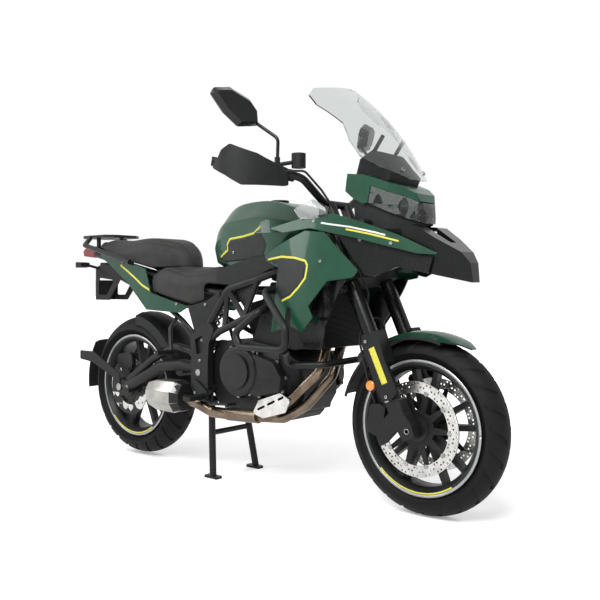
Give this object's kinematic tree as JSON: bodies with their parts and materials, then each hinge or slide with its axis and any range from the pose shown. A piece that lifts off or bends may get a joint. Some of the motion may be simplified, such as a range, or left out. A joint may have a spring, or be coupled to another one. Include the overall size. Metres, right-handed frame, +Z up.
{
  "type": "adventure motorcycle",
  "caption": "Mid-size adventure motorcycle on its centre stand: trellis frame, faired nose with screen, two-step seat, crash bars and luggage rack; wheels, steering and stands move.",
  "frame": {"origin": "on the floor, at the middle of the overall length and width", "axes": "+X forwards, +Y to the rider's left, +Z up"},
  "size_m": [2.2, 0.9218, 1.489],
  "materials": {
    "green_paint": "gloss metallic",
    "green_plastic": "gloss metallic",
    "black_plastic": "matte",
    "black_paint": "satin",
    "seat_cover": "matte",
    "engine_alloy": "satin",
    "bare_alloy": "satin",
    "steel": "brushed",
    "header_steel": "brushed",
    "tyre": "matte",
    "rubber": "matte",
    "clear": "clear",
    "lens": "gloss",
    "red_lens": "gloss",
    "amber_lens": "gloss",
    "mirror_shell": "matte"
  },
  "bodies": {
    "chassis": {"frame_trellis": "black_paint", "pivot_plates": "black_paint", "subframe": "black_paint", "engine_block": "engine_alloy", "engine_covers": "engine_alloy", "fuel_tank": "green_paint", "fuel_cap": "bare_alloy", "rider_seat": "seat_cover", "pillion_seat": "seat_cover", "tail_panels": "green_plastic", "frame_covers": "black_plastic", "side_fairings": "green_plastic", "upper_cowls": "green_plastic", "inner_cowls": "black_plastic", "beak": "green_plastic", "nose_cowl": "green_plastic", "headlight": "lens", "lamp_housing": "black_plastic", "windscreen": "clear", "dashboard": "black_plastic", "radiator": "black_paint", "crash_bars": "black_paint", "exhaust_headers": "header_steel", "muffler": "steel", "heat_shield": "steel", "swingarm": "black_paint", "pivot_shafts": "steel", "rear_axle": "steel", "rear_shock": "black_paint", "chain": "steel", "rear_mudguards": "black_plastic", "rear_caliper": "bare_alloy", "undertray": "black_plastic", "luggage_rack": "black_paint", "tail_lamp": "red_lens", "rear_indicators": "amber_lens", "plate_bracket": "black_plastic", "footrests": "bare_alloy"},
    "steering": {"triple_clamps": "black_paint", "brake_hoses": "rubber", "fork_outer_tubes": "black_paint", "fork_feet": "engine_alloy", "fork_guards": "black_plastic", "front_axle": "steel", "front_fender": "green_plastic", "front_calipers": "engine_alloy", "handlebar": "black_paint", "grips": "rubber", "handguards": "black_plastic", "controls": "black_paint", "mirrors": "mirror_shell"},
    "front_wheel": {"front_rim": "black_paint", "front_tyre": "tyre", "front_discs": "steel"},
    "rear_wheel": {"rear_rim": "black_paint", "rear_tyre": "tyre", "rear_disc": "steel", "rear_sprocket": "steel"},
    "centre_stand": {"centre_stand": "black_paint"},
    "side_stand": {"side_stand": "black_paint"}
  },
  "joints": [
    {"name": "steer", "type": "hinge", "parent": "chassis", "child": "steering", "pos_m": [0.76194, 0, 0.28225], "axis": [-0.4226, 0, 0.9063], "range_deg": [-35, 35]},
    {"name": "front_spin", "type": "hinge", "parent": "steering", "child": "front_wheel", "pos_m": [0.8, 0, 0.3], "axis": [0, 1, 0], "continuous": true},
    {"name": "rear_spin", "type": "hinge", "parent": "chassis", "child": "rear_wheel", "pos_m": [-0.705, 0, 0.322], "axis": [0, 1, 0], "continuous": true},
    {"name": "centre_stand_fold", "type": "hinge", "parent": "chassis", "child": "centre_stand", "pos_m": [-0.15, 0, 0.308], "axis": [0, 1, 0], "range_deg": [0, 78]},
    {"name": "side_stand_fold", "type": "hinge", "parent": "chassis", "child": "side_stand", "pos_m": [-0.02, 0.14, 0.276], "axis": [0, -1, 0], "range_deg": [0, 100]}
  ]
}
